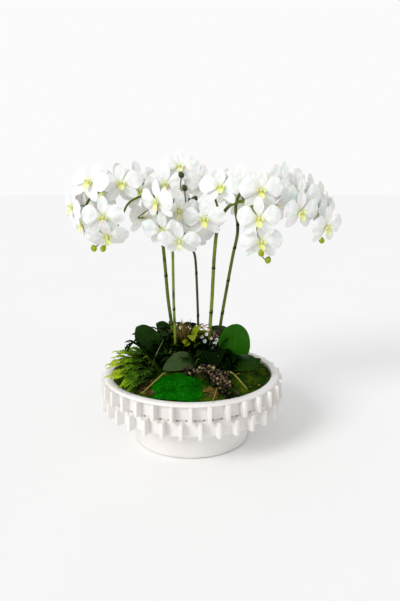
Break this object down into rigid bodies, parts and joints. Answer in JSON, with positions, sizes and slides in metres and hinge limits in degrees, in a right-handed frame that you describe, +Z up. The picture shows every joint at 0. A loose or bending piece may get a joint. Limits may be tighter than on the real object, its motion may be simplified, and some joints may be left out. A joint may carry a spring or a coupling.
{
  "type": "bowl of orchids",
  "caption": "Footed bowl with staggered radial fins round its wall, mounded with moss, leaves, fern and berries, with arching sprays of white moth orchids.",
  "frame": {"origin": "centre of the flat underside of the bowl's foot", "axes": "+Z up, -Y towards the front of the arrangement as pictured, +X to the viewer's right"},
  "size_m": [0.6485, 0.432, 0.6785],
  "materials": {
    "ceramic": "matte white glaze",
    "foam": "crumbly foam",
    "moss": "soft olive moss",
    "emerald_moss": "dense emerald moss",
    "bark": "rough bark",
    "petal": "soft white petals",
    "stem_green": "smooth green stem",
    "leaf": "waxy dark green leaf",
    "fern": "fresh green fern",
    "berry": "dark shiny berries",
    "succulent": "bronze spikes",
    "twig": "dry straw-coloured twigs"
  },
  "bodies": {
    "root": {"bark_chip": "bark", "berries_back": "berry", "berries_front": "berry", "bloom_centre_dark_1": "petal", "bloom_centre_dark_2": "petal", "bloom_centre_dark_3": "petal", "bloom_centre_pale_1": "petal", "bloom_centre_pale_2": "petal", "bloom_centre_pale_3": "petal", "bloom_centre_pale_4": "petal", "bloom_far_right_1": "petal", "bloom_far_right_2": "petal", "bloom_far_right_3": "petal", "bloom_far_right_4": "petal", "bloom_far_right_5": "petal", "bloom_far_right_6": "petal", "bloom_far_right_7": "petal", "bloom_left_1": "petal", "bloom_left_10": "petal", "bloom_left_2": "petal", "bloom_left_3": "petal", "bloom_left_4": "petal", "bloom_left_5": "petal", "bloom_left_6": "petal", "bloom_left_7": "petal", "bloom_left_8": "petal", "bloom_left_9": "petal", "bloom_right_front_1": "petal", "bloom_right_front_2": "petal", "bloom_right_front_3": "petal", "bloom_right_front_4": "petal", "bloom_right_front_5": "petal", "bloom_right_front_6": "petal", "bowl": "ceramic", "emerald_moss": "emerald_moss", "foam_filler": "foam", "frond_back": "fern", "frond_front": "fern", "frond_high": "fern", "frond_low": "fern", "leaf_back_left": "leaf", "leaf_back_right": "leaf", "leaf_broad_left": "leaf", "leaf_centre_dark": "leaf", "leaf_front": "leaf", "leaf_low_right": "leaf", "leaf_round_right": "leaf", "leaf_young": "leaf", "sheet_moss": "moss", "stem_centre_dark": "stem_green", "stem_centre_pale": "stem_green", "stem_far_right": "stem_green", "stem_left": "stem_green", "stem_right_front": "stem_green", "succulent": "succulent", "tendril": "stem_green", "twig_brown": "twig", "twig_left": "twig", "twig_over_rim": "twig", "twig_right": "twig"}
  },
  "joints": []
}
